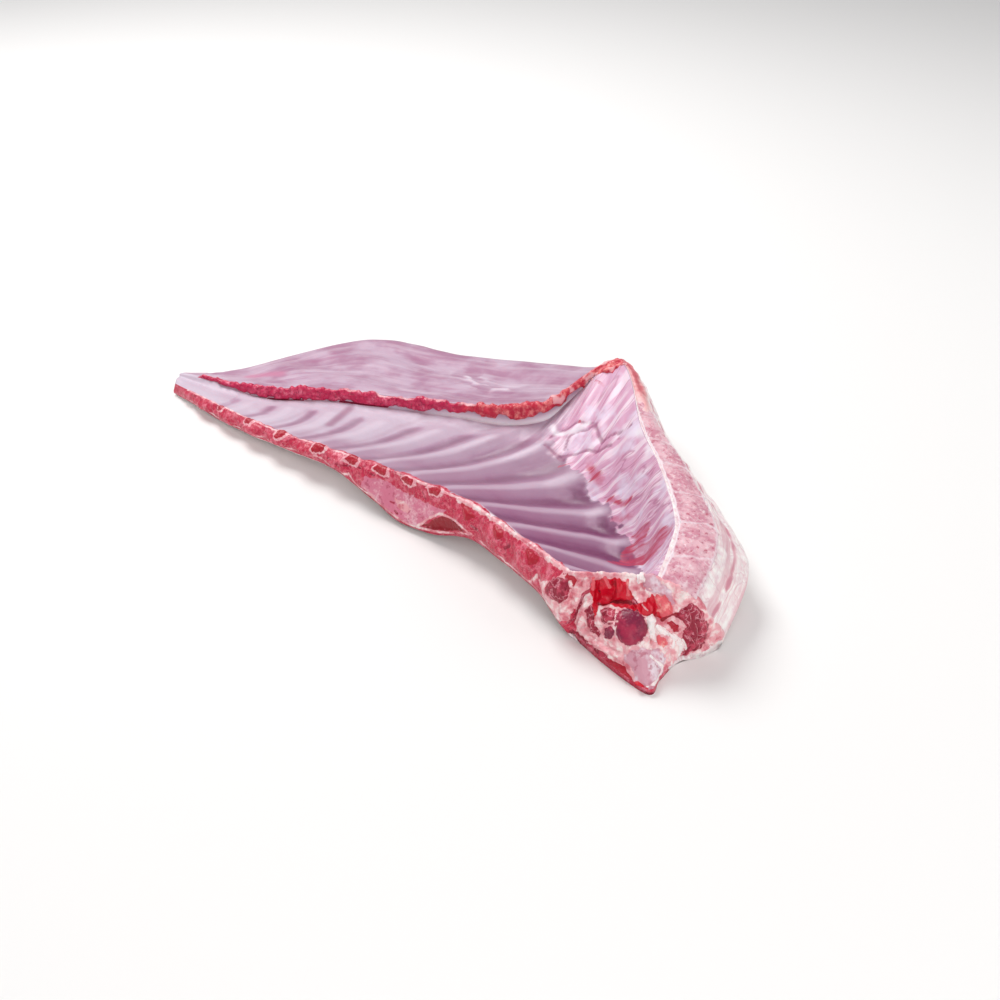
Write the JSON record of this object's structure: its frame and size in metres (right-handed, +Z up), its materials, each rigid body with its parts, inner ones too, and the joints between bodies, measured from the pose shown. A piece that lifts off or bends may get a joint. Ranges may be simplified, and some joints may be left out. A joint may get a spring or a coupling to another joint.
{
  "type": "raw lamb ribs",
  "caption": "Raw lamb rib sheet in one piece, with sawn rib ends, split breastbone edge and thin flank, lying inner side up as a shallow bowl.",
  "frame": {"origin": "middle of the bounding box, at the underside that lies on the board", "axes": "+X from the thin flank tip to the thick front end, +Y from the sawn rib ends to the breastbone, +Z up out of the hollow inner side"},
  "size_m": [0.4638, 0.2158, 0.0557],
  "materials": {
    "raw_lamb": "moist, satin"
  },
  "bodies": {
    "root": {"lamb_ribs": "raw_lamb"}
  },
  "joints": []
}
